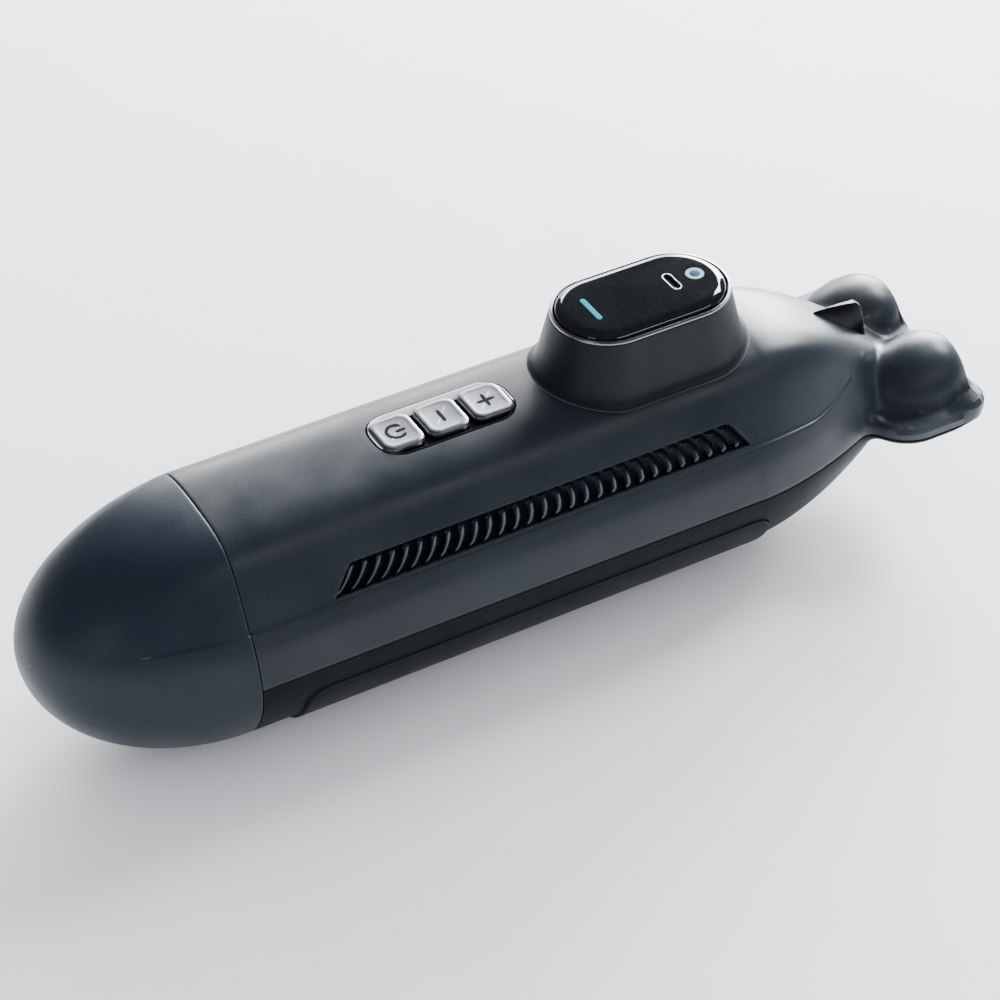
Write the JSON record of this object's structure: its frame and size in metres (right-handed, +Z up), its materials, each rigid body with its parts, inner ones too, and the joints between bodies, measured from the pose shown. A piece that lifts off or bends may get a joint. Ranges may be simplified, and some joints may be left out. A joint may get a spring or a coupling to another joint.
{
  "type": "underwater scooter",
  "caption": "Submarine-shaped hand-held scooter: sealed hull, pull-off nose, deck keypad, tower with a glass status panel, side louvres and twin tail jets.",
  "frame": {"origin": "mid length and mid width, on the flat keel face the scooter stands on", "axes": "+X to the nose, +Y to port, +Z up through the tower"},
  "size_m": [0.3279, 0.083, 0.103],
  "materials": {
    "hull_slate": "satin",
    "lower_slate": "satin",
    "black_gloss": "polished",
    "navy_gloss": "polished",
    "panel_black": "polished",
    "trim_grey": "satin",
    "key_metal": "satin",
    "light_cyan": "lit",
    "light_pale": "lit",
    "rubber": "matte",
    "board_green": "satin",
    "aluminium": "satin",
    "steel": "satin",
    "bronze": "satin",
    "cell_wrap": "satin",
    "inner_plastic": "satin"
  },
  "bodies": {
    "hull": {"upper_hull": "hull_slate", "lower_hull": "lower_slate", "keel_cover": "lower_slate", "keel_screw_1": "steel", "keel_screw_2": "steel", "keel_screw_3": "steel", "keel_screw_4": "steel", "front_bulkhead": "inner_plastic", "nose_seal": "rubber", "dry_tube": "aluminium", "tube_seal_fore": "rubber", "tube_seal_aft": "rubber", "battery_holder": "inner_plastic", "battery_cell_1": "cell_wrap", "battery_cell_2": "cell_wrap", "battery_cell_3": "cell_wrap", "battery_cell_4": "cell_wrap", "motor_driver_board": "board_green", "keel_ballast": "steel", "keypad_bezel": "black_gloss", "keypad_membrane": "rubber", "control_board": "board_green", "power_switch": "inner_plastic", "minus_switch": "inner_plastic", "plus_switch": "inner_plastic", "tower_shell": "lower_slate", "tower_trim_ring": "trim_grey", "glass_gasket": "rubber", "panel_glass": "panel_black", "light_bar_lens": "light_cyan", "usb_socket": "steel", "ring_light_halo": "light_pale", "ring_light_centre": "light_cyan", "status_board": "board_green", "stern_fin": "black_gloss", "motor_bulkhead": "aluminium", "port_louvre": "navy_gloss", "starboard_louvre": "navy_gloss", "port_motor": "aluminium", "port_nozzle": "inner_plastic", "port_bush": "bronze", "starboard_motor": "aluminium", "starboard_nozzle": "inner_plastic", "starboard_bush": "bronze"},
    "nose": {"nose_cap": "hull_slate"},
    "power_key": {"power_button": "key_metal"},
    "minus_key": {"minus_button": "key_metal"},
    "plus_key": {"plus_button": "key_metal"},
    "port_drive": {"port_shaft": "steel", "port_impeller": "bronze", "port_nut": "steel"},
    "starboard_drive": {"starboard_shaft": "steel", "starboard_impeller": "bronze", "starboard_nut": "steel"}
  },
  "joints": [
    {"name": "nose_pull", "type": "slide", "parent": "hull", "child": "nose", "axis": [1, 0, 0], "range_m": [0, 0.03]},
    {"name": "power_press", "type": "slide", "parent": "hull", "child": "power_key", "axis": [0, 0, -1], "range_m": [0, 0.0008], "stiffness_N_per_m": 600, "springref_m": -0.0006},
    {"name": "minus_press", "type": "slide", "parent": "hull", "child": "minus_key", "axis": [0, 0, -1], "range_m": [0, 0.0008], "stiffness_N_per_m": 600, "springref_m": -0.0006},
    {"name": "plus_press", "type": "slide", "parent": "hull", "child": "plus_key", "axis": [0, 0, -1], "range_m": [0, 0.0008], "stiffness_N_per_m": 600, "springref_m": -0.0006},
    {"name": "port_spin", "type": "hinge", "parent": "hull", "child": "port_drive", "pos_m": [-0.14, 0.018, 0.0423], "axis": [1, 0, 0], "continuous": true},
    {"name": "starboard_spin", "type": "hinge", "parent": "hull", "child": "starboard_drive", "pos_m": [-0.14, -0.018, 0.0423], "axis": [1, 0, 0], "continuous": true}
  ]
}
